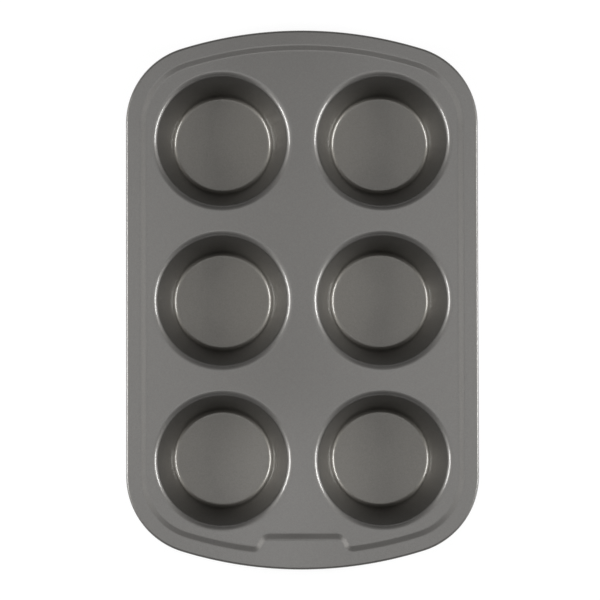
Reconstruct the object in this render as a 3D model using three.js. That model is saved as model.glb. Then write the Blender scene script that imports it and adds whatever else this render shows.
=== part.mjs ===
// Six-cup muffin pan: a pressed and coated steel sheet whose outer edge is rolled round a wire.
// Millimetres, +Z up. The pan stands on its cup floors at z = 0, is centred on the Z axis and is
// long along Y. The grip tab is at the front end, -Y.
import * as THREE from 'three';

// Sheet and rim wire
const SHEET = 0.5;
const WIRE_DIAMETER = 1.2;
const WIRE_CLEARANCE = 0.1;
const WIRE_BUTT_GAP = 0.6;
const ROLL_ANGLE = THREE.MathUtils.degToRad(290);

// Cups: the floor's flat radius, the radius where the rounded mouth meets the deck, and the flat
// ring of deck that each cup keeps round its mouth
const FLOOR_RADIUS = 24.2;
const MOUTH_RADIUS = 37.0;
const CUP_DEPTH = 30.5;
const FLOOR_FILLET = 2.3;
const MOUTH_FILLET = 3.2;
const CUP_LIP = 1.0;

// Deck left between the cups, and between the cups and the foot of the step
const WEB_ACROSS = 8.3;
const WEB_ALONG = 8.1;
const SIDE_LAND = 1.2;
const FRONT_LAND = 3.5;
const BACK_LAND = 4.4;

// Raised border: the step up from the deck, the flat flange, and the outline's arcs
const STEP_RISE = 1.0;
const STEP_RUN = 4.5;
const FLANGE_WIDTH = 5.55;
const END_RADIUS = 214;
const CORNER_RADIUS = 41.4;

// Grip tab: how far the flange reaches in at the front, its two widths, and its corners
const TAB_REACH = 8.3;
const TAB_FOOT_WIDTH = 48.1;
const TAB_HEAD_WIDTH = 40.2;
const TAB_ROUNDING = 2.6;

// Facets
const CUP_SEGMENTS = 32;
const FILLET_STEPS = 3;
const ARC_STEPS = 4;
const STEP_ROWS = 3;
const ROLL_STEPS = 7;
const WIRE_SIDES = 6;
const SAME_POINT = 0.001;

// Heights
const DECK_TOP = SHEET + CUP_DEPTH;
const FLANGE_TOP = DECK_TOP + STEP_RISE;

// Roll
const WIRE_RADIUS = WIRE_DIAMETER / 2;
const ROLL_INNER = WIRE_RADIUS + WIRE_CLEARANCE;
const ROLL_OUTER = ROLL_INNER + SHEET;

// Cup grid
const LIP_RADIUS = MOUTH_RADIUS + CUP_LIP;
const PITCH_ACROSS = 2 * LIP_RADIUS + WEB_ACROSS;
const PITCH_ALONG = 2 * LIP_RADIUS + WEB_ALONG;
const COLUMN_X = PITCH_ACROSS / 2;
const MIDDLE_Y = (FRONT_LAND - BACK_LAND) / 2;

// Outline: straight sides, a large arc at each end and a corner arc tangent to both
const STEP_INSET = ROLL_OUTER + FLANGE_WIDTH + STEP_RUN / 2;
const FOOT_INSET = STEP_INSET + STEP_RUN / 2;
const HALF_WIDTH = COLUMN_X + LIP_RADIUS + SIDE_LAND + FOOT_INSET;
const END_FOOT_Y = PITCH_ALONG + LIP_RADIUS + (FRONT_LAND + BACK_LAND) / 2;
const END_CENTRE_Y = END_FOOT_Y - Math.sqrt((END_RADIUS - FOOT_INSET) ** 2 - COLUMN_X ** 2);
const CORNER_CENTRE_X = HALF_WIDTH - CORNER_RADIUS;
const CORNER_CENTRE_Y = END_CENTRE_Y
  + Math.sqrt((END_RADIUS - CORNER_RADIUS) ** 2 - CORNER_CENTRE_X ** 2);
const END_HALF_ANGLE = Math.atan2(CORNER_CENTRE_X, CORNER_CENTRE_Y - END_CENTRE_Y);
const QUARTER_TURN = Math.PI / 2;

const COATED_STEEL = { color: 0x73716f, roughness: 0.42, metalness: 0.55 };
const BARE_STEEL = { color: 0xa3a29e, roughness: 0.35, metalness: 1.0 };

function namedMesh(name, geometry, finish) {
  const mesh = new THREE.Mesh(geometry, new THREE.MeshStandardMaterial(finish));
  mesh.name = name;
  return mesh;
}

// The point of the pan's outer edge that faces a point near the border, with its outward direction.
function edgeFacing(point) {
  const side = Math.sign(point.x) || 1;
  const end = Math.sign(point.y) || 1;
  if (Math.abs(point.y) <= CORNER_CENTRE_Y) {
    const out = new THREE.Vector2(side, 0);
    return { out, edge: new THREE.Vector2(side * HALF_WIDTH, point.y) };
  }
  const endCentre = new THREE.Vector2(0, end * END_CENTRE_Y);
  const fromEnd = point.clone().sub(endCentre);
  const onEnd = Math.atan2(Math.abs(fromEnd.x), Math.abs(fromEnd.y)) <= END_HALF_ANGLE;
  const cornerCentre = new THREE.Vector2(side * CORNER_CENTRE_X, end * CORNER_CENTRE_Y);
  const centre = onEnd ? endCentre : cornerCentre;
  const out = point.clone().sub(centre).normalize();
  const edge = centre.clone().addScaledVector(out, onEnd ? END_RADIUS : CORNER_RADIUS);
  return { out, edge };
}

// The middle of the step, from the front middle round the right-hand side to the back middle.
// It follows the outline at a fixed inset, apart from the tab's trapezoid at the front.
function rightStepLine() {
  const endRadius = END_RADIUS - STEP_INSET;
  const cornerRadius = CORNER_RADIUS - STEP_INSET;
  const head = new THREE.Vector2(TAB_HEAD_WIDTH / 2, -END_CENTRE_Y - endRadius + TAB_REACH);
  const footX = TAB_FOOT_WIDTH / 2;
  const foot = new THREE.Vector2(footX, -END_CENTRE_Y - Math.sqrt(endRadius ** 2 - footX ** 2));
  const slant = foot.clone().sub(head).normalize();
  const headEnd = head.clone().addScaledVector(slant, TAB_ROUNDING);
  const footStart = foot.clone().addScaledVector(slant, -TAB_ROUNDING);
  const footEndX = footX + TAB_ROUNDING;
  const footEndAngle = Math.asin(footEndX / endRadius);
  const footEndY = -END_CENTRE_Y - endRadius * Math.cos(footEndAngle);

  const line = new THREE.Path();
  line.moveTo(0, head.y);
  line.lineTo(head.x - TAB_ROUNDING, head.y);
  line.quadraticCurveTo(head.x, head.y, headEnd.x, headEnd.y);
  line.lineTo(footStart.x, footStart.y);
  line.quadraticCurveTo(foot.x, foot.y, footEndX, footEndY);
  const cornerStart = END_HALF_ANGLE - QUARTER_TURN;
  line.absarc(0, -END_CENTRE_Y, endRadius, footEndAngle - QUARTER_TURN, cornerStart);
  line.absarc(CORNER_CENTRE_X, -CORNER_CENTRE_Y, cornerRadius, cornerStart, 0);
  line.absarc(CORNER_CENTRE_X, CORNER_CENTRE_Y, cornerRadius, 0, -cornerStart);
  line.absarc(0, END_CENTRE_Y, endRadius, -cornerStart, QUARTER_TURN);
  const points = line.getPoints(ARC_STEPS);
  points.at(-1).x = 0;
  return points.filter((point, i) => i === 0 || point.distanceTo(points[i - 1]) > SAME_POINT);
}

const RIGHT_STEP_LINE = rightStepLine();
const LEFT_STEP_LINE = RIGHT_STEP_LINE.slice(1, -1).reverse()
  .map((point) => new THREE.Vector2(-point.x, point.y));
const STEP_LINE = [...RIGHT_STEP_LINE, ...LEFT_STEP_LINE];

// Outward directions of the step line itself: half way between its two sides at each point.
const STEP_OUTWARD = STEP_LINE.map((point, i) => {
  const before = STEP_LINE.at(i - 1);
  const after = STEP_LINE[(i + 1) % STEP_LINE.length];
  const arrive = point.clone().sub(before).normalize();
  const leave = after.clone().sub(point).normalize();
  const along = arrive.add(leave).normalize();
  return new THREE.Vector2(along.y, -along.x);
});

// A solid made by joining section loops, one at each station. A loop runs anticlockwise as seen
// with outward to the right and up at the top. An open run of stations gets flat ends.
function sweptSolid(stations, isClosed) {
  const count = stations[0].length;
  const faces = [];
  const joints = isClosed ? stations.length : stations.length - 1;
  for (let i = 0; i < joints; i += 1) {
    const here = i * count;
    const next = ((i + 1) % stations.length) * count;
    for (let a = 0; a < count; a += 1) {
      const b = (a + 1) % count;
      faces.push(here + a, next + a, next + b, here + a, next + b, here + b);
    }
  }
  if (!isClosed) {
    const last = (stations.length - 1) * count;
    for (let a = 1; a < count - 1; a += 1) {
      faces.push(0, a, a + 1, last, last + a + 1, last + a);
    }
  }
  const geometry = new THREE.BufferGeometry().setFromPoints(stations.flat());
  geometry.setIndex(faces);
  geometry.computeVertexNormals();
  return geometry;
}

// A section point at a distance inside the outer edge, at a height.
function insideEdge({ edge, out }, inset, z) {
  return new THREE.Vector3(edge.x - inset * out.x, edge.y - inset * out.y, z);
}

// The closed wall profile of a cup, from the axis under the floor round to the axis on the floor.
// The straight wall is the line that touches both the floor's fillet and the mouth's.
function cupProfile() {
  const floorCentre = new THREE.Vector2(FLOOR_RADIUS, SHEET + FLOOR_FILLET);
  const mouthCentre = new THREE.Vector2(MOUTH_RADIUS, DECK_TOP - MOUTH_FILLET);
  const reach = mouthCentre.clone().sub(floorCentre);
  const lean = Math.atan2(reach.x, reach.y);
  const draft = lean - Math.asin((FLOOR_FILLET + MOUTH_FILLET) / reach.length());

  const arc = (centre, radius, from, to) => Array.from({ length: FILLET_STEPS + 1 }, (_, i) => {
    const angle = THREE.MathUtils.lerp(from, to, i / FILLET_STEPS);
    return new THREE.Vector2(radius * Math.cos(angle), radius * Math.sin(angle)).add(centre);
  });
  const wallAngle = Math.PI - draft;
  return [
    new THREE.Vector2(0, 0),
    ...arc(floorCentre, FLOOR_FILLET + SHEET, -QUARTER_TURN, -draft),
    ...arc(mouthCentre, MOUTH_FILLET - SHEET, wallAngle, QUARTER_TURN),
    new THREE.Vector2(LIP_RADIUS, DECK_TOP - SHEET),
    new THREE.Vector2(LIP_RADIUS, DECK_TOP),
    ...arc(mouthCentre, MOUTH_FILLET, QUARTER_TURN, wallAngle),
    ...arc(floorCentre, FLOOR_FILLET, -draft, -QUARTER_TURN),
    new THREE.Vector2(0, SHEET),
  ];
}

function cups() {
  const rows = { front: MIDDLE_Y - PITCH_ALONG, middle: MIDDLE_Y, back: MIDDLE_Y + PITCH_ALONG };
  const columns = { left: -COLUMN_X, right: COLUMN_X };
  const geometry = new THREE.LatheGeometry(cupProfile(), CUP_SEGMENTS).rotateX(QUARTER_TURN);
  return Object.entries(rows).flatMap(([row, y]) => Object.entries(columns).map(([column, x]) => {
    const cup = namedMesh(`cup_${row}_${column}`, geometry, COATED_STEEL);
    cup.position.set(x, y, 0);
    return cup;
  }));
}

// The recessed web: the space inside the foot of the step, with a hole for each cup's lip.
function deck(cupMeshes) {
  const web = new THREE.Shape(STEP_LINE.map((point, i) => (
    point.clone().addScaledVector(STEP_OUTWARD[i], -STEP_RUN / 2))));
  web.holes = cupMeshes.map(({ position }) => new THREE.Path(
    Array.from({ length: CUP_SEGMENTS }, (_, i) => {
      const turn = (i / CUP_SEGMENTS) * 2 * Math.PI;
      return new THREE.Vector2(
        position.x + LIP_RADIUS * Math.sin(turn),
        position.y - LIP_RADIUS * Math.cos(turn),
      );
    })));
  const geometry = new THREE.ExtrudeGeometry(web, { depth: SHEET, bevelEnabled: false });
  const mesh = namedMesh('deck', geometry, COATED_STEEL);
  mesh.position.z = DECK_TOP - SHEET;
  return mesh;
}

// The raised border: flat from the roll to the step, then an S-shaped step down to the deck.
function flange() {
  const stations = STEP_LINE.map((point, i) => {
    const top = [insideEdge(edgeFacing(point), ROLL_OUTER, FLANGE_TOP)];
    for (let row = 0; row <= STEP_ROWS; row += 1) {
      const down = row / STEP_ROWS;
      const place = point.clone().addScaledVector(STEP_OUTWARD[i], STEP_RUN * (0.5 - down));
      const z = FLANGE_TOP - STEP_RISE * THREE.MathUtils.smoothstep(down, 0, 1);
      top.push(new THREE.Vector3(place.x, place.y, z));
    }
    const under = top.map(({ x, y, z }) => new THREE.Vector3(x, y, z - SHEET)).reverse();
    return [...top, ...under];
  });
  return namedMesh('flange', sweptSolid(stations, true), COATED_STEEL);
}

// The outer edge, rolled down and under from the flange into a C section.
function rolledRim() {
  const angles = Array.from({ length: ROLL_STEPS + 1 }, (_, i) => (
    QUARTER_TURN - ROLL_ANGLE * (1 - i / ROLL_STEPS)));
  const ring = (radius) => angles.map((angle) => ({
    inset: ROLL_OUTER - radius * Math.cos(angle),
    z: FLANGE_TOP - ROLL_OUTER + radius * Math.sin(angle),
  }));
  const section = [...ring(ROLL_OUTER), ...ring(ROLL_INNER).reverse()];
  const stations = STEP_LINE.map((point) => {
    const facing = edgeFacing(point);
    return section.map(({ inset, z }) => insideEdge(facing, inset, z));
  });
  return namedMesh('rolled_rim', sweptSolid(stations, true), COATED_STEEL);
}

// The wire in the roll: one length, whose two ends butt at the middle of the back end.
function rimWire() {
  const backY = RIGHT_STEP_LINE.at(-1).y;
  const line = [
    new THREE.Vector2(-WIRE_BUTT_GAP / 2, backY),
    ...LEFT_STEP_LINE,
    ...RIGHT_STEP_LINE.slice(0, -1),
    new THREE.Vector2(WIRE_BUTT_GAP / 2, backY),
  ];
  const section = Array.from({ length: WIRE_SIDES }, (_, i) => {
    const angle = (i / WIRE_SIDES) * 2 * Math.PI;
    return {
      inset: ROLL_OUTER - WIRE_RADIUS * Math.cos(angle),
      z: FLANGE_TOP - ROLL_OUTER + WIRE_RADIUS * Math.sin(angle),
    };
  });
  const stations = line.map((point) => {
    const facing = edgeFacing(point);
    return section.map(({ inset, z }) => insideEdge(facing, inset, z));
  });
  return namedMesh('rim_wire', sweptSolid(stations, false), BARE_STEEL);
}

const pan = new THREE.Group();
const cupMeshes = cups();
pan.add(deck(cupMeshes), ...cupMeshes, flange(), rolledRim(), rimWire());

export default pan;
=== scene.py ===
"""Six-cup muffin pan seen from straight above: one pressed steel sheet with a satin grey coat.

Everything is in metres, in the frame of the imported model. A shape is a profile turned round an
axis or carried along a line, worked out as whole arrays of points.
"""
import math

import bpy
import numpy as np
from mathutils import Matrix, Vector


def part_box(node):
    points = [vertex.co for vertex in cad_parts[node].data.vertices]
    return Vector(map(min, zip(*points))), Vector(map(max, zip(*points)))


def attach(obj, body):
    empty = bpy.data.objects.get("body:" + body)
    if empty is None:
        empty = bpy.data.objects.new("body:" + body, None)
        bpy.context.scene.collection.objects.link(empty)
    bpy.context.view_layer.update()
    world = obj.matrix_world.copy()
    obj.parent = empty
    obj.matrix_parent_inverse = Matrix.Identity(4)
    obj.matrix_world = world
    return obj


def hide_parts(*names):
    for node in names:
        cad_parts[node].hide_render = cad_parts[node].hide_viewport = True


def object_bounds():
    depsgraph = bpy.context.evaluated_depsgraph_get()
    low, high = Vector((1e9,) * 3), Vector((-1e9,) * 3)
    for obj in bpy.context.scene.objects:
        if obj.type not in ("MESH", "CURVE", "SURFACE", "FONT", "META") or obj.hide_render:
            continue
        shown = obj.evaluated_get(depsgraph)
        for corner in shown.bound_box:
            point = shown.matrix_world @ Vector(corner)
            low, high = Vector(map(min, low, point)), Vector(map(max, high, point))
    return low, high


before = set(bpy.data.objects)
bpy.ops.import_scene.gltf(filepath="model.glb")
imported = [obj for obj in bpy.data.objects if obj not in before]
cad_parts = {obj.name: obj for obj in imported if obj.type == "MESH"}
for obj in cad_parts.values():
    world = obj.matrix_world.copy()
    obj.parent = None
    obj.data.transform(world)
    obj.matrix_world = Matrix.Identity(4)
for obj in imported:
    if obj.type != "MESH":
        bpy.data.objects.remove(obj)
CAD_LOW, CAD_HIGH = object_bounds()

MM = 0.001
QUARTER_TURN = math.pi / 2

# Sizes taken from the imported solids
DECK_LOW, DECK_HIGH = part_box("deck")
_, FLANGE_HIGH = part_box("flange")
_, RIM_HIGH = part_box("rolled_rim")
CUP_LOW, CUP_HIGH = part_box("cup_back_right")
MIDDLE_LOW, MIDDLE_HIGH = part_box("cup_middle_right")
DECK_TOP = DECK_HIGH.z
SHEET = DECK_HIGH.z - DECK_LOW.z
FLANGE_TOP = RIM_HIGH.z
HALF_WIDTH = RIM_HIGH.x
HALF_LENGTH = RIM_HIGH.y
ROLL_RADIUS = RIM_HIGH.x - FLANGE_HIGH.x
LIP_RADIUS = (CUP_HIGH.x - CUP_LOW.x) / 2
COLUMN_X = (CUP_HIGH.x + CUP_LOW.x) / 2
MIDDLE_Y = (MIDDLE_HIGH.y + MIDDLE_LOW.y) / 2
ROW_PITCH = (CUP_HIGH.y + CUP_LOW.y) / 2 - MIDDLE_Y
FRONT_CROSS_Y = MIDDLE_Y - ROW_PITCH / 2
BACK_CROSS_Y = MIDDLE_Y + ROW_PITCH / 2

# Sizes that no solid's box gives
FLOOR_RADIUS = 24.03 * MM
FLOOR_FILLET = 2.7 * MM
LIP_FLAT = 0.7 * MM
MOUTH_RADIUS = LIP_RADIUS - LIP_FLAT
MOUTH_REACH = 3.71 * MM
MOUTH_DROP = 3.22 * MM
STEP_RUN = 4.5 * MM
SLOPE_START = 0.4 * MM
SLOPE_RUN = 4.0 * MM
SLOPE_BEND = 1.0 * MM
TAB_SLOPE_EXTRA = 0.7 * MM
TAB_BEND_EXTRA = 0.9 * MM
FLANGE_WIDTH = 5.55 * MM
END_RADIUS = 214 * MM
CORNER_RADIUS = 41.4 * MM
TAB_REACH = 8.3 * MM
TAB_FOOT_HALF = 24.05 * MM
TAB_HEAD_HALF = 20.1 * MM
TAB_ROUNDING = 2.6 * MM
ROLL_ANGLE = math.radians(290)
WIRE_RADIUS = 0.6 * MM
WIRE_BUTT_GAP = 0.6 * MM

# Outline: straight sides, a large arc at each end and a corner arc that touches both
STEP_INSET = ROLL_RADIUS + FLANGE_WIDTH + STEP_RUN / 2
END_CENTRE_Y = HALF_LENGTH - END_RADIUS
CORNER_CENTRE_X = HALF_WIDTH - CORNER_RADIUS
CORNER_CENTRE_Y = END_CENTRE_Y + math.sqrt((END_RADIUS - CORNER_RADIUS) ** 2 - CORNER_CENTRE_X ** 2)
END_HALF_ANGLE = math.atan2(CORNER_CENTRE_X, CORNER_CENTRE_Y - END_CENTRE_Y)

# Fineness of the meshes
SPACING = 1.1 * MM
BEND_POINTS = 12
SEAM_FLAT = 0.1 * MM
SHARP_ANGLE = math.radians(40)
SAME_LINE = 0.01 * MM
SAME_POINT_DECIMALS = 8
DRAFT_TRIES = 4001
MOUTH_ROWS = 24
FLOOR_FILLET_ROWS = 18
UNDER_FILLET_ROWS = 12
LIP_ROWS = 2
WALL_ROWS = 10
UNDER_WALL_ROWS = 6
FLOOR_ROWS = 8
UNDER_FLOOR_ROWS = 6
DECK_ROWS = 6
FLANGE_FLAT_ROWS = 12
STEP_ROWS = 25
ROLL_ROWS = 34
WIRE_SIDES = 16


def straight(start, end):
    """Evenly spaced points from start up to, but not at, end."""
    start, end = np.array(start), np.array(end)
    count = max(1, math.ceil(np.linalg.norm(end - start) / SPACING))
    share = np.arange(count)[:, None] / count
    return start + share * (end - start)


def arc(centre, radius, first, last):
    """Evenly spaced points on a circle, from one angle up to, but not at, the other."""
    count = max(1, math.ceil(abs(last - first) * radius / SPACING))
    angle = first + (last - first) * np.arange(count) / count
    return np.array(centre) + radius * np.column_stack([np.cos(angle), np.sin(angle)])


def rounded(start, corner, end):
    """A rounded corner: the parabola that leaves start and reaches end along the lines to the corner."""
    share = np.arange(BEND_POINTS)[:, None] / BEND_POINTS
    start, corner, end = np.array(start), np.array(corner), np.array(end)
    return (1 - share) ** 2 * start + 2 * share * (1 - share) * corner + share ** 2 * end


def right_step_line():
    """The middle of the step, from the front middle round the right-hand side to the back middle.

    It keeps one distance from the outer edge, apart from the grip tab's trapezoid at the front.
    """
    end_radius = END_RADIUS - STEP_INSET
    corner_radius = CORNER_RADIUS - STEP_INSET
    side_x = HALF_WIDTH - STEP_INSET
    head = np.array([TAB_HEAD_HALF, -END_CENTRE_Y - end_radius + TAB_REACH])
    foot_y = -END_CENTRE_Y - math.sqrt(end_radius ** 2 - TAB_FOOT_HALF ** 2)
    foot = np.array([TAB_FOOT_HALF, foot_y])
    slant = (foot - head) / np.linalg.norm(foot - head)
    head_start = head - [TAB_ROUNDING, 0]
    head_end = head + slant * TAB_ROUNDING
    foot_start = foot - slant * TAB_ROUNDING
    foot_angle = math.asin((TAB_FOOT_HALF + TAB_ROUNDING) / end_radius)
    foot_end = [TAB_FOOT_HALF + TAB_ROUNDING, -END_CENTRE_Y - end_radius * math.cos(foot_angle)]
    corner_angle = QUARTER_TURN - END_HALF_ANGLE
    return np.vstack([
        straight([0, head[1]], head_start),
        rounded(head_start, head, head_end),
        straight(head_end, foot_start),
        rounded(foot_start, foot, foot_end),
        arc([0, -END_CENTRE_Y], end_radius, foot_angle - QUARTER_TURN, -corner_angle),
        arc([CORNER_CENTRE_X, -CORNER_CENTRE_Y], corner_radius, -corner_angle, 0),
        straight([side_x, -CORNER_CENTRE_Y], [side_x, FRONT_CROSS_Y]),
        straight([side_x, FRONT_CROSS_Y], [side_x, BACK_CROSS_Y]),
        straight([side_x, BACK_CROSS_Y], [side_x, CORNER_CENTRE_Y]),
        arc([CORNER_CENTRE_X, CORNER_CENTRE_Y], corner_radius, 0, corner_angle),
        arc([0, END_CENTRE_Y], end_radius, corner_angle, QUARTER_TURN),
        [[0, END_CENTRE_Y + end_radius]],
    ])


def outward_of(line):
    """Outward directions of a closed line: square to the mean of its two sides at each point."""
    arrive = line - np.roll(line, 1, axis=0)
    leave = np.roll(line, -1, axis=0) - line
    along = arrive / np.linalg.norm(arrive, axis=1)[:, None] + leave / np.linalg.norm(leave, axis=1)[:, None]
    along /= np.linalg.norm(along, axis=1)[:, None]
    return np.column_stack([along[:, 1], -along[:, 0]])


def edge_facing(points):
    """The point of the outer edge that each point near the border faces, and the direction out there.

    Beside the straight sides the direction is square to them. Further on it runs from the centre
    of the corner's arc or of the end's arc, by the point's angle as seen from the end's centre.
    """
    side = np.where(points[:, 0] < 0, -1.0, 1.0)
    end = np.where(points[:, 1] < 0, -1.0, 1.0)
    end_centre = np.column_stack([0 * end, end * END_CENTRE_Y])
    corner_centre = np.column_stack([side * CORNER_CENTRE_X, end * CORNER_CENTRE_Y])
    reach = np.abs(points - end_centre)
    on_end = np.arctan2(reach[:, 0], reach[:, 1]) <= END_HALF_ANGLE
    on_side = np.abs(points[:, 1]) <= CORNER_CENTRE_Y
    centre = np.where(on_end[:, None], end_centre, corner_centre)
    outward = points - centre
    outward /= np.linalg.norm(outward, axis=1)[:, None]
    edge = centre + np.where(on_end, END_RADIUS, CORNER_RADIUS)[:, None] * outward
    outward[on_side] = np.column_stack([side, 0 * side])[on_side]
    edge[on_side] = np.column_stack([side * HALF_WIDTH, points[:, 1]])[on_side]
    return edge, outward


RIGHT_LINE = right_step_line()
LEFT_LINE = RIGHT_LINE[-2:0:-1] * [-1, 1]
STEP_LINE = np.vstack([RIGHT_LINE, LEFT_LINE])
STEP_OUTWARD = outward_of(STEP_LINE)
FOOT_LINE = STEP_LINE - STEP_OUTWARD * STEP_RUN / 2


def grid_faces(rows, columns, rows_close):
    """Four-sided faces of a grid of points whose columns close into a ring, and whose rows may too."""
    row = np.arange(rows if rows_close else rows - 1)[:, None]
    column = np.arange(columns)[None, :]
    next_row = (row + 1) % rows
    next_column = (column + 1) % columns
    corners = [row * columns + column, next_row * columns + column]
    corners += [next_row * columns + next_column, row * columns + next_column]
    return np.stack(corners, axis=-1).reshape(-1, 4)


def piece_from(name, points, faces, materials, face_materials=None):
    """A smooth mesh with sharp creases, at the origin, riding on the pan."""
    mesh = bpy.data.meshes.new(name)
    mesh.from_pydata(points.tolist(), [], faces)
    for material in materials:
        mesh.materials.append(material)
    if face_materials is not None:
        mesh.polygons.foreach_set("material_index", face_materials.astype(np.int32))
    mesh.shade_smooth()
    mesh.set_sharp_from_angle(angle=SHARP_ANGLE)
    mesh.update()
    piece = bpy.data.objects.new(name, mesh)
    bpy.context.scene.collection.objects.link(piece)
    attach(piece, "root")
    return piece


def fillet(centre, across, tall, first, last, rows):
    """Profile points on part of an ellipse with the two half-widths given, both ends included."""
    angle = np.linspace(first, last, rows)
    return np.array(centre) + np.column_stack([across * np.cos(angle), tall * np.sin(angle)])


def thinned(start, end, rows):
    """Profile points from start to end, both left out, crowded towards both ends."""
    share = (1 - np.cos(np.linspace(0, math.pi, rows + 2)[1:-1])) / 2
    return np.array(start) + share[:, None] * (np.array(end) - np.array(start))


def cup_profile():
    """The cup's wall as (radius, height): up its outside from the axis, over the lip and down inside.

    The mouth is rounded by a quarter of an ellipse and the floor by a quarter of a circle. The straight
    wall is the line that touches both, and its draft is found where the gap between them closes.
    """
    floor_centre = np.array([FLOOR_RADIUS, SHEET + FLOOR_FILLET])
    mouth_centre = np.array([MOUTH_RADIUS, DECK_TOP - MOUTH_DROP])
    run, climb = mouth_centre - floor_centre
    drafts = np.linspace(0, QUARTER_TURN / 2, DRAFT_TRIES)
    cosines, sines = np.cos(drafts), np.sin(drafts)
    gap = sines * climb - cosines * run + np.hypot(MOUTH_REACH * cosines, MOUTH_DROP * sines) + FLOOR_FILLET
    draft = np.interp(0, gap, drafts)
    mouth_turn = math.pi - math.atan2(MOUTH_DROP * math.sin(draft), MOUTH_REACH * math.cos(draft))
    under_fillet = FLOOR_FILLET + SHEET
    under_reach, under_drop = MOUTH_REACH - SHEET, MOUTH_DROP - SHEET
    inside_mouth = fillet(mouth_centre, MOUTH_REACH, MOUTH_DROP, QUARTER_TURN, mouth_turn, MOUTH_ROWS)
    inside_floor = fillet(floor_centre, FLOOR_FILLET, FLOOR_FILLET, -draft, -QUARTER_TURN, FLOOR_FILLET_ROWS)
    under_floor = fillet(floor_centre, under_fillet, under_fillet, -QUARTER_TURN, -draft, UNDER_FILLET_ROWS)
    under_mouth = fillet(mouth_centre, under_reach, under_drop, mouth_turn, QUARTER_TURN, UNDER_FILLET_ROWS)
    under_lip = np.array([LIP_RADIUS, DECK_TOP - SHEET])
    lip = np.array([LIP_RADIUS, DECK_TOP])
    outside = np.vstack([
        thinned([0, 0], under_floor[0], UNDER_FLOOR_ROWS),
        under_floor,
        thinned(under_floor[-1], under_mouth[0], UNDER_WALL_ROWS),
        under_mouth,
        thinned(under_mouth[-1], under_lip, LIP_ROWS),
        [under_lip],
    ])
    inside = np.vstack([
        [lip],
        thinned(lip, inside_mouth[0], LIP_ROWS),
        inside_mouth,
        thinned(inside_mouth[-1], inside_floor[0], WALL_ROWS),
        inside_floor,
        thinned(inside_floor[-1], [0, SHEET], FLOOR_ROWS),
    ])
    return outside, inside


def make_cup(name, node, centre, border):
    """The cup's profile turned round its axis, through the angles at which the deck's border lies."""
    outside, inside = cup_profile()
    profile = np.vstack([outside, inside])
    spoke = border - centre
    spoke /= np.linalg.norm(spoke, axis=1)[:, None]
    rows, columns = len(profile), len(spoke)
    ring = centre + profile[:, :1, None] * spoke[None, :, :]
    height = np.broadcast_to(profile[:, 1:, None], (rows, columns, 1))
    points = np.concatenate([ring, height], axis=2).reshape(-1, 3)
    poles = [[*centre, 0.0], [*centre, SHEET]]
    walls = grid_faces(rows, columns, False)[:, ::-1]
    turn = np.arange(columns)
    next_turn = (turn + 1) % columns
    under_pole, floor_pole = rows * columns, rows * columns + 1
    last_row = (rows - 1) * columns
    under_fan = np.column_stack([np.full(columns, under_pole), next_turn, turn])
    floor_fan = np.column_stack([np.full(columns, floor_pole), last_row + turn, last_row + next_turn])
    faces = walls.tolist() + under_fan.tolist() + floor_fan.tolist()
    face_row = np.repeat(np.arange(rows - 1), columns)
    is_outside = np.concatenate([face_row < len(outside), np.full(columns, True), np.full(columns, False)])
    cup = piece_from(name, np.vstack([points, poles]), faces, [inside_coat, outside_coat], is_outside)
    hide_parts(node)


def deck_cells():
    """The six star-shaped cells of the deck: each cup's name, its centre and its cell's border.

    A right-hand cell is bounded by the foot of the step and by the lines midway between the cups.
    A left-hand cell is its mirror image, taken the other way round.
    """
    right_foot = FOOT_LINE[:len(RIGHT_LINE)]
    foot_x = right_foot[:, 0].max()
    on_side = np.isclose(right_foot[:, 0], foot_x, atol=SAME_LINE)
    lower = int(np.argmin(np.abs(right_foot[:, 1] - FRONT_CROSS_Y) + ~on_side))
    upper = int(np.argmin(np.abs(right_foot[:, 1] - BACK_CROSS_Y) + ~on_side))
    front, back = right_foot[0], right_foot[-1]
    low_cross = straight([0, FRONT_CROSS_Y], right_foot[lower])
    high_cross = straight([0, BACK_CROSS_Y], right_foot[upper])
    middle_line = straight([0, FRONT_CROSS_Y], [0, BACK_CROSS_Y])
    front_line = straight(front, [0, FRONT_CROSS_Y])
    back_line = straight([0, BACK_CROSS_Y], back)
    borders = {
        "front": [right_foot[:lower + 1], low_cross[::-1], front_line[:0:-1]],
        "middle": [right_foot[lower:upper + 1], high_cross[::-1], middle_line[::-1], low_cross[1:]],
        "back": [right_foot[upper:-1], [back], back_line[::-1], high_cross[1:]],
    }
    row_y = {"front": MIDDLE_Y - ROW_PITCH, "middle": MIDDLE_Y, "back": MIDDLE_Y + ROW_PITCH}
    cells = []
    for row, parts in borders.items():
        border = np.vstack(parts)
        centre = np.array([COLUMN_X, row_y[row]])
        cells.append((f"{row}_right", centre, border))
        cells.append((f"{row}_left", centre * [-1, 1], border[::-1] * [-1, 1]))
    return cells


def make_deck(cells):
    """The flat web: in each cell a grid from the cup's lip circle out to the cell's border."""
    share = np.linspace(0, 1, DECK_ROWS)[:, None, None]
    grids, faces, start = [], [], 0
    for _, centre, border in cells:
        spoke = border - centre
        spoke = spoke / np.linalg.norm(spoke, axis=1)[:, None]
        lip = centre + LIP_RADIUS * spoke
        grids.append((lip + share * (border - lip)).reshape(-1, 2))
        faces.append(start + grid_faces(DECK_ROWS, len(border), False))
        start += DECK_ROWS * len(border)
    flat, place = np.unique(np.round(np.vstack(grids), SAME_POINT_DECIMALS), axis=0, return_inverse=True)
    points = np.column_stack([flat, np.full(len(flat), DECK_TOP)])
    faces = place.reshape(-1)[np.vstack(faces)]
    deck = piece_from("deck_sheet", points, faces.tolist(), [inside_coat, outside_coat])
    thickness = deck.modifiers.new("sheet", "SOLIDIFY")
    thickness.thickness = SHEET
    thickness.offset = -1
    thickness.material_offset = 1
    deck.data.shade_flat()
    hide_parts("deck")


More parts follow.
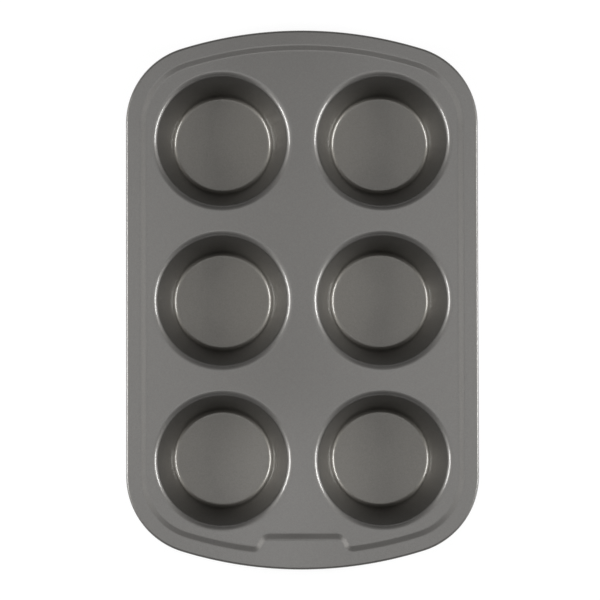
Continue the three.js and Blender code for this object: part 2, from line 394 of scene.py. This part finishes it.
def slope_share(distance, run, upper_bend, lower_bend):
    """Share of the way down a straight slope with rounded ends, at a distance from its upper end.

    The steepness grows evenly over the upper bend, stays, and dies away evenly over the lower bend.
    The share is the steepness added up to that distance, over its sum for the whole slope.
    """
    distance = np.clip(distance, 0, run)
    first = np.minimum(distance, upper_bend)
    past_first = np.maximum(distance - upper_bend, 0)
    last = np.maximum(distance - run + lower_bend, 0)
    drop = first ** 2 / (2 * upper_bend) + past_first - last ** 2 / (2 * lower_bend)
    return drop / (run - (upper_bend + lower_bend) / 2)


def make_flange():
    """The raised border: a sheet's section, flat and then a slope down to the deck, carried round.

    At the head of the grip tab the slope starts further out and has a softer upper bend.
    """
    edge, edge_outward = edge_facing(STEP_LINE)
    seam = edge - ROLL_RADIUS * edge_outward
    ledge = STEP_LINE + STEP_OUTWARD * STEP_RUN / 2
    flat_share = 1 - np.linspace(1, 0, FLANGE_FLAT_ROWS + 1)[:-1, None] ** 2
    flat_plan = seam + flat_share[:, :, None] * (ledge - seam)
    inward = np.linspace(0, STEP_RUN - SEAM_FLAT, STEP_ROWS)[:, None] + np.zeros(len(STEP_LINE))
    step_plan = STEP_LINE + (STEP_RUN / 2 - inward)[:, :, None] * STEP_OUTWARD
    past_ledge = np.concatenate([-np.linalg.norm(ledge - flat_plan, axis=2), inward])
    head_share = np.clip((TAB_HEAD_HALF - np.abs(STEP_LINE[:, 0])) / TAB_ROUNDING, 0, 1)
    on_head = head_share * (STEP_LINE[:, 1] < 0)
    past_start = past_ledge - SLOPE_START + TAB_SLOPE_EXTRA * on_head
    run = SLOPE_RUN + TAB_SLOPE_EXTRA * on_head
    share = slope_share(past_start, run, SLOPE_BEND + TAB_BEND_EXTRA * on_head, SLOPE_BEND)
    slope_height = FLANGE_TOP - (FLANGE_TOP - DECK_TOP) * share
    foot_height = np.full((1, len(STEP_LINE)), DECK_TOP)
    plan = np.concatenate([flat_plan, step_plan, FOOT_LINE[None]])
    height = np.concatenate([slope_height, foot_height])
    top = np.concatenate([plan, height[:, :, None]], axis=2)
    under = top[::-1] - [0, 0, SHEET]
    section = np.concatenate([top, under])
    rows, columns = section.shape[:2]
    faces = grid_faces(rows, columns, True)[:, ::-1]
    face_row = np.repeat(np.arange(rows), columns)
    flange = piece_from("flange_sheet", section.reshape(-1, 3), faces.tolist(), [inside_coat, outside_coat],
                        face_row >= len(top))
    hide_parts("flange")


def carried(section, line):
    """Points of a section, given as (distance in from the outer edge, height), carried along a line."""
    edge, outward = edge_facing(line)
    plan = edge - section[:, :1, None] * outward
    height = np.broadcast_to(section[:, 1:, None], (len(section), len(line), 1))
    return np.concatenate([plan, height], axis=2)


def ring_section(radius, first, last, rows):
    """Section points on a circle round the wire's middle, by angle from straight out towards up."""
    angle = np.linspace(first, last, rows)
    return np.column_stack([ROLL_RADIUS - radius * np.cos(angle),
                            FLANGE_TOP - ROLL_RADIUS + radius * np.sin(angle)])


def make_rolled_edge():
    """The outer edge, bent down and under from the flange: an open ring of sheet carried round."""
    outer = ring_section(ROLL_RADIUS, QUARTER_TURN - ROLL_ANGLE, QUARTER_TURN, ROLL_ROWS)
    inner = ring_section(ROLL_RADIUS - SHEET, QUARTER_TURN, QUARTER_TURN - ROLL_ANGLE, ROLL_ROWS)
    section = np.vstack([outer, inner])
    points = carried(section, STEP_LINE)
    faces = grid_faces(len(section), len(STEP_LINE), True)[:, ::-1]
    roll = piece_from("rolled_edge", points.reshape(-1, 3), faces.tolist(), [inside_coat])
    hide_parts("rolled_rim")


def make_wire():
    """The round wire in the roll, its two flat ends butted at the middle of the back end."""
    back_y = RIGHT_LINE[-1, 1]
    line = np.vstack([
        [[-WIRE_BUTT_GAP / 2, back_y]],
        LEFT_LINE,
        RIGHT_LINE[:-1],
        [[WIRE_BUTT_GAP / 2, back_y]],
    ])
    section = ring_section(WIRE_RADIUS, 0, 2 * math.pi, WIRE_SIDES + 1)[:-1]
    points = carried(section, line).transpose(1, 0, 2)
    faces = grid_faces(len(line), WIRE_SIDES, False).tolist()
    last_ring = (len(line) - 1) * WIRE_SIDES
    faces.append(list(range(WIRE_SIDES)))
    faces.append(list(range(last_ring + WIRE_SIDES - 1, last_ring - 1, -1)))
    wire = piece_from("wire_core", points.reshape(-1, 3), faces, [wire_steel])
    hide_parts("rim_wire")


def add(nodes, kind, **values):
    """A shader node of a kind, with its properties and its inputs set by name."""
    node = nodes.new(kind)
    for name, value in values.items():
        socket = node.inputs.get(name.replace("_", " "))
        if socket is not None:
            socket.default_value = value
        else:
            setattr(node, name, value)
    return node


def new_group(name, inputs, outputs):
    """An empty shader node group with number or vector inputs and outputs."""
    group = bpy.data.node_groups.new(name, "ShaderNodeTree")
    for socket, kind in inputs.items():
        group.interface.new_socket(socket, in_out="INPUT", socket_type=kind)
    for socket, kind in outputs.items():
        group.interface.new_socket(socket, in_out="OUTPUT", socket_type=kind)
    entry = group.nodes.new("NodeGroupInput")
    leave = group.nodes.new("NodeGroupOutput")
    return group, entry, leave


VECTOR = "NodeSocketVector"
NUMBER = "NodeSocketFloat"

# Coat: how many flakes, clouds and dimples to a metre, and what they do to the roughness and the surface
FLAKES_PER_METRE = 2600.0
CLOUDS_PER_METRE = 34.0
DIMPLES_PER_METRE = 520.0
FLAKE_GRAIN_SHARE = 0.45
FLAKE_ROUGHENING = -0.05
MOTTLE_ROUGHENING = 0.12
PEEL_STRENGTH = 0.6
PEEL_DEPTH = 0.05 * MM

# Painted shade: red, green and blue of the coat at the underside, as shares of its colour at the deck, so
# the coat is drawn darker and warmer lower down
PAINTED_DEPTH_SHADE = (1.0, 0.98, 0.93)

# Wire: its colour, and the roughness with its change over a millimetre or so
WIRE_COLOUR = (0.45, 0.44, 0.43, 1)
WIRE_CLOUDS_PER_METRE = 800.0
WIRE_ROUGHNESS = 0.35
WIRE_ROUGHENING = 0.2


def make_flake_group():
    """Fine metal flakes: one random shade for each small cell, softened by a slightly coarser noise."""
    group, entry, leave = new_group("coat_flakes", {"Place": VECTOR, "Per metre": NUMBER}, {"Shade": NUMBER})
    nodes, links = group.nodes, group.links
    cells = add(nodes, "ShaderNodeTexVoronoi", feature="F1")
    split = nodes.new("ShaderNodeSeparateColor")
    grain = add(nodes, "ShaderNodeTexNoise", Detail=2.0, Roughness=0.6)
    coarser = add(nodes, "ShaderNodeMath", operation="MULTIPLY")
    coarser.inputs[1].default_value = FLAKE_GRAIN_SHARE
    both = add(nodes, "ShaderNodeMath", operation="ADD")
    centred = add(nodes, "ShaderNodeMath", operation="SUBTRACT")
    centred.inputs[1].default_value = 1.0
    links.new(entry.outputs["Place"], cells.inputs["Vector"])
    links.new(entry.outputs["Per metre"], cells.inputs["Scale"])
    links.new(entry.outputs["Place"], grain.inputs["Vector"])
    links.new(entry.outputs["Per metre"], coarser.inputs[0])
    links.new(coarser.outputs[0], grain.inputs["Scale"])
    links.new(cells.outputs["Color"], split.inputs["Color"])
    links.new(split.outputs["Red"], both.inputs[0])
    links.new(grain.outputs["Fac"], both.inputs[1])
    links.new(both.outputs[0], centred.inputs[0])
    links.new(centred.outputs[0], leave.inputs["Shade"])
    return group


def make_mottle_group():
    """Soft clouds of a material's shade, from -0.5 to 0.5."""
    group, entry, leave = new_group("coat_mottle", {"Place": VECTOR, "Per metre": NUMBER}, {"Shade": NUMBER})
    nodes, links = group.nodes, group.links
    cloud = add(nodes, "ShaderNodeTexNoise", Detail=3.0, Roughness=0.5)
    centred = add(nodes, "ShaderNodeMath", operation="SUBTRACT")
    centred.inputs[1].default_value = 0.5
    links.new(entry.outputs["Place"], cloud.inputs["Vector"])
    links.new(entry.outputs["Per metre"], cloud.inputs["Scale"])
    links.new(cloud.outputs["Fac"], centred.inputs[0])
    links.new(centred.outputs[0], leave.inputs["Shade"])
    return group


def make_peel_group():
    """Height of the sprayed coat's soft dimples, with finer ones on top."""
    group, entry, leave = new_group("coat_peel", {"Place": VECTOR, "Per metre": NUMBER}, {"Height": NUMBER})
    nodes, links = group.nodes, group.links
    dimples = add(nodes, "ShaderNodeTexNoise", Detail=2.0, Roughness=0.55)
    links.new(entry.outputs["Place"], dimples.inputs["Vector"])
    links.new(entry.outputs["Per metre"], dimples.inputs["Scale"])
    links.new(dimples.outputs["Fac"], leave.inputs["Height"])
    return group


def make_painted_shade_level_group():
    """How high a place is: its height times the scale, held between 0 and 1, used as the mask of the painted
    shade lower down.
    """
    group, entry, leave = new_group("coat_painted_shade_level", {"Place": VECTOR, "Per metre": NUMBER}, {"Level": NUMBER})
    nodes, links = group.nodes, group.links
    axes = nodes.new("ShaderNodeSeparateXYZ")
    level = add(nodes, "ShaderNodeMath", operation="MULTIPLY", use_clamp=True)
    links.new(entry.outputs["Place"], axes.inputs[0])
    links.new(axes.outputs["Z"], level.inputs[0])
    links.new(entry.outputs["Per metre"], level.inputs[1])
    links.new(level.outputs[0], leave.inputs["Level"])
    return group


FLAKES = make_flake_group()
MOTTLE = make_mottle_group()
PEEL = make_peel_group()
PAINTED_SHADE_LEVEL = make_painted_shade_level_group()


def effect(nodes, links, group, place, per_metre):
    """One of the groups above, placed in a material at its own scale."""
    node = nodes.new("ShaderNodeGroup")
    node.node_tree = group
    node.inputs["Per metre"].default_value = per_metre
    links.new(place, node.inputs["Place"])
    return node


def scaled_sum(nodes, links, first, first_share, second, second_share, base):
    """base + first x first_share + second x second_share, as one value."""
    one = add(nodes, "ShaderNodeMath", operation="MULTIPLY_ADD")
    one.inputs[1].default_value = first_share
    one.inputs[2].default_value = base
    two = add(nodes, "ShaderNodeMath", operation="MULTIPLY_ADD")
    two.inputs[1].default_value = second_share
    links.new(first, one.inputs[0])
    links.new(second, two.inputs[0])
    links.new(one.outputs[0], two.inputs[2])
    return two.outputs[0]


def coat_material(name, colour, metallic, roughness, flake_share, mottle_share, clear, clear_roughness):
    """A satin coat under a clear layer: the colour and the roughness change with the flakes and the mottle.

    The colour carries a painted shade: it turns evenly from darker and warmer at the underside to its full
    colour at the deck.
    """
    material = bpy.data.materials.new(name)
    material.use_nodes = True
    nodes, links = material.node_tree.nodes, material.node_tree.links
    shader = nodes["Principled BSDF"]
    shader.inputs["Metallic"].default_value = metallic
    shader.inputs["IOR"].default_value = 1.5
    shader.inputs["Coat Weight"].default_value = clear
    shader.inputs["Coat Roughness"].default_value = clear_roughness
    place = nodes.new("ShaderNodeTexCoord").outputs["Object"]
    flakes = effect(nodes, links, FLAKES, place, FLAKES_PER_METRE).outputs["Shade"]
    mottle = effect(nodes, links, MOTTLE, place, CLOUDS_PER_METRE).outputs["Shade"]
    height = effect(nodes, links, PEEL, place, DIMPLES_PER_METRE).outputs["Height"]
    # Painted shade: the coat's colour is made darker and warmer from the deck down to the underside
    level = effect(nodes, links, PAINTED_SHADE_LEVEL, place, 1 / DECK_TOP).outputs["Level"]
    painted_shade_colour = np.multiply(colour, PAINTED_DEPTH_SHADE)
    shade = add(nodes, "ShaderNodeVectorMath", operation="MULTIPLY_ADD")
    shade.inputs[1].default_value = np.subtract(colour, painted_shade_colour)
    shade.inputs[2].default_value = painted_shade_colour
    links.new(level, shade.inputs[0])
    strength = scaled_sum(nodes, links, flakes, flake_share, mottle, mottle_share, 1.0)
    tint = add(nodes, "ShaderNodeVectorMath", operation="SCALE")
    links.new(shade.outputs[0], tint.inputs[0])
    links.new(strength, tint.inputs["Scale"])
    links.new(tint.outputs[0], shader.inputs["Base Color"])
    rough = scaled_sum(nodes, links, flakes, FLAKE_ROUGHENING, mottle, MOTTLE_ROUGHENING, roughness)
    links.new(rough, shader.inputs["Roughness"])
    bump = add(nodes, "ShaderNodeBump", Strength=PEEL_STRENGTH, Distance=PEEL_DEPTH)
    links.new(height, bump.inputs["Height"])
    links.new(bump.outputs["Normal"], shader.inputs["Normal"])
    return material


def wire_material():
    """Plain drawn steel whose roughness changes a little from place to place."""
    material = bpy.data.materials.new("wire_steel")
    material.use_nodes = True
    nodes, links = material.node_tree.nodes, material.node_tree.links
    shader = nodes["Principled BSDF"]
    shader.inputs["Base Color"].default_value = WIRE_COLOUR
    shader.inputs["Metallic"].default_value = 1.0
    place = nodes.new("ShaderNodeTexCoord").outputs["Object"]
    mottle = effect(nodes, links, MOTTLE, place, WIRE_CLOUDS_PER_METRE).outputs["Shade"]
    rough = add(nodes, "ShaderNodeMath", operation="MULTIPLY_ADD")
    rough.inputs[1].default_value = WIRE_ROUGHENING
    rough.inputs[2].default_value = WIRE_ROUGHNESS
    links.new(mottle, rough.inputs[0])
    links.new(rough.outputs[0], shader.inputs["Roughness"])
    return material


def background_rays(nodes, links):
    """1 for the rays that see the background: camera, glossy and transmission rays."""
    rays = nodes.new("ShaderNodeLightPath")
    first = add(nodes, "ShaderNodeMath", operation="MAXIMUM")
    second = add(nodes, "ShaderNodeMath", operation="MAXIMUM")
    links.new(rays.outputs["Is Camera Ray"], first.inputs[0])
    links.new(rays.outputs["Is Glossy Ray"], first.inputs[1])
    links.new(first.outputs[0], second.inputs[0])
    links.new(rays.outputs["Is Transmission Ray"], second.inputs[1])
    return second.outputs[0]


def make_floor():
    """A wide floor just under the cups, curved up far away: seen as white, with the pan's faint shadow."""
    material = bpy.data.materials.new("floor_paper")
    material.use_nodes = True
    nodes, links = material.node_tree.nodes, material.node_tree.links
    shader = nodes["Principled BSDF"]
    shader.inputs["Base Color"].default_value = (FLOOR_COLOUR, FLOOR_COLOUR, FLOOR_COLOUR, 1)
    shader.inputs["Roughness"].default_value = 1.0
    shader.inputs["Specular IOR Level"].default_value = 0.0
    shader.inputs["Emission Color"].default_value = (1, 1, 1, 1)
    glow = add(nodes, "ShaderNodeMath", operation="MULTIPLY")
    glow.inputs[1].default_value = FLOOR_GLOW
    links.new(background_rays(nodes, links), glow.inputs[0])
    links.new(glow.outputs[0], shader.inputs["Emission Strength"])
    sweep = fillet([FLOOR_HALF, BACKDROP_BEND], BACKDROP_BEND, BACKDROP_BEND, -QUARTER_TURN, 0, SWEEP_ROWS)
    profile = np.vstack([[[FLOOR_MIDDLE, 0]], sweep, [[sweep[-1, 0], BACKDROP_HEIGHT]]]) - [0, FLOOR_GAP]
    turn = np.linspace(0, 2 * math.pi, FLOOR_SIDES + 1)[:-1]
    plan = profile[:, :1, None] * np.column_stack([np.cos(turn), np.sin(turn)])
    height = np.broadcast_to(profile[:, 1:, None], (len(profile), len(turn), 1))
    points = np.concatenate([plan, height], axis=2).reshape(-1, 3)
    faces = grid_faces(len(profile), len(turn), False).tolist()
    faces.append(list(range(len(turn))))
    mesh = bpy.data.meshes.new("floor")
    mesh.from_pydata(points.tolist(), [], faces)
    mesh.materials.append(material)
    floor = bpy.data.objects.new("floor", mesh)
    bpy.context.scene.collection.objects.link(floor)


def make_world():
    """A low even light from all round."""
    world = bpy.data.worlds.new("studio")
    world.use_nodes = True
    bpy.context.scene.world = world
    background = world.node_tree.nodes["Background"]
    background.inputs["Color"].default_value = (1, 1, 1, 1)
    background.inputs["Strength"].default_value = FILL_LIGHT


def make_softbox(name, lean, away, along, across, length, power):
    """A soft light that faces the pan's middle from a distance, moved along the pan's long axis.

    Straight over the pan its lean is 0, and it grows to the right. Its length runs along the pan.
    """
    turn = math.radians(lean)
    lamp = bpy.data.lights.new(name, "AREA")
    lamp.shape = "RECTANGLE"
    lamp.size = across
    lamp.size_y = length
    lamp.energy = power
    softbox = bpy.data.objects.new(name, lamp)
    softbox.location = PAN_MIDDLE + Vector((away * math.sin(turn), along, away * math.cos(turn)))
    softbox.rotation_euler = (0, turn, 0)
    bpy.context.scene.collection.objects.link(softbox)


def make_camera():
    """The photograph's view: nearly straight down, from a long lens."""
    camera_data = bpy.data.cameras.new("camera")
    camera_data.lens = CAMERA_LENS
    camera_data.sensor_width = CAMERA_SENSOR
    camera = bpy.data.objects.new("camera", camera_data)
    camera.location = CAMERA_PLACE
    camera.rotation_euler = tuple(math.radians(turn) for turn in CAMERA_TURN)
    bpy.context.scene.collection.objects.link(camera)
    bpy.context.scene.camera = camera


# Floor and backdrop
FLOOR_HALF = 12.0
FLOOR_MIDDLE = 1.0
FLOOR_GAP = 0.1 * MM
FLOOR_SIDES = 96
SWEEP_ROWS = 9
BACKDROP_BEND = 2.0
BACKDROP_HEIGHT = 3.0
FLOOR_COLOUR = 0.22
FLOOR_GLOW = 0.84

# Lights: leans in degrees, distances and sizes in metres, power in watts
FILL_LIGHT = 0.027
PAN_MIDDLE = (CAD_LOW + CAD_HIGH) / 2
SOFTBOXES = {
    "side_left_softbox": dict(lean=-54.1, away=0.85, along=-0.021, across=0.237, length=0.422, power=5.85),
    "side_right_softbox": dict(lean=56.2, away=0.85, along=-0.021, across=0.237, length=0.422, power=6.00),
    "top_left_softbox": dict(lean=-12.8, away=1.98, along=-0.056, across=0.758, length=1.225, power=3.54),
    "top_right_softbox": dict(lean=12.8, away=1.98, along=-0.056, across=0.758, length=1.225, power=3.80),
    "top_front_softbox": dict(lean=0.0, away=1.93, along=-0.392, across=0.119, length=0.553, power=0.49),
    "top_back_softbox": dict(lean=0.0, away=1.93, along=0.280, across=0.119, length=0.553, power=0.12),
}

# Camera: lens and sensor in millimetres, place in metres, turns in degrees
CAMERA_LENS = 152.0
CAMERA_SENSOR = 36.0
CAMERA_PLACE = (-0.0250, -0.0300, 1.3618)
CAMERA_TURN = (1.280, -1.018, -0.129)

inside_coat = coat_material(
    "inside_coat", colour=(0.176, 0.171, 0.163), metallic=0.97, roughness=0.51,
    flake_share=0.08, mottle_share=0.08, clear=0.82, clear_roughness=0.14,
)
outside_coat = coat_material(
    "outside_coat", colour=(0.150, 0.146, 0.140), metallic=0.55, roughness=0.45,
    flake_share=0.14, mottle_share=0.12, clear=0.3, clear_roughness=0.3,
)
wire_steel = wire_material()

CELLS = deck_cells()
make_deck(CELLS)
for place_name, cup_centre, cell_border in CELLS:
    make_cup(f"cup_shell_{place_name}", f"cup_{place_name}", cup_centre, cell_border)
make_flange()
make_rolled_edge()
make_wire()

make_floor()
make_world()
for light_name, light_place in SOFTBOXES.items():
    make_softbox(light_name, **light_place)
make_camera()
bpy.context.scene.view_settings.view_transform = "Standard"
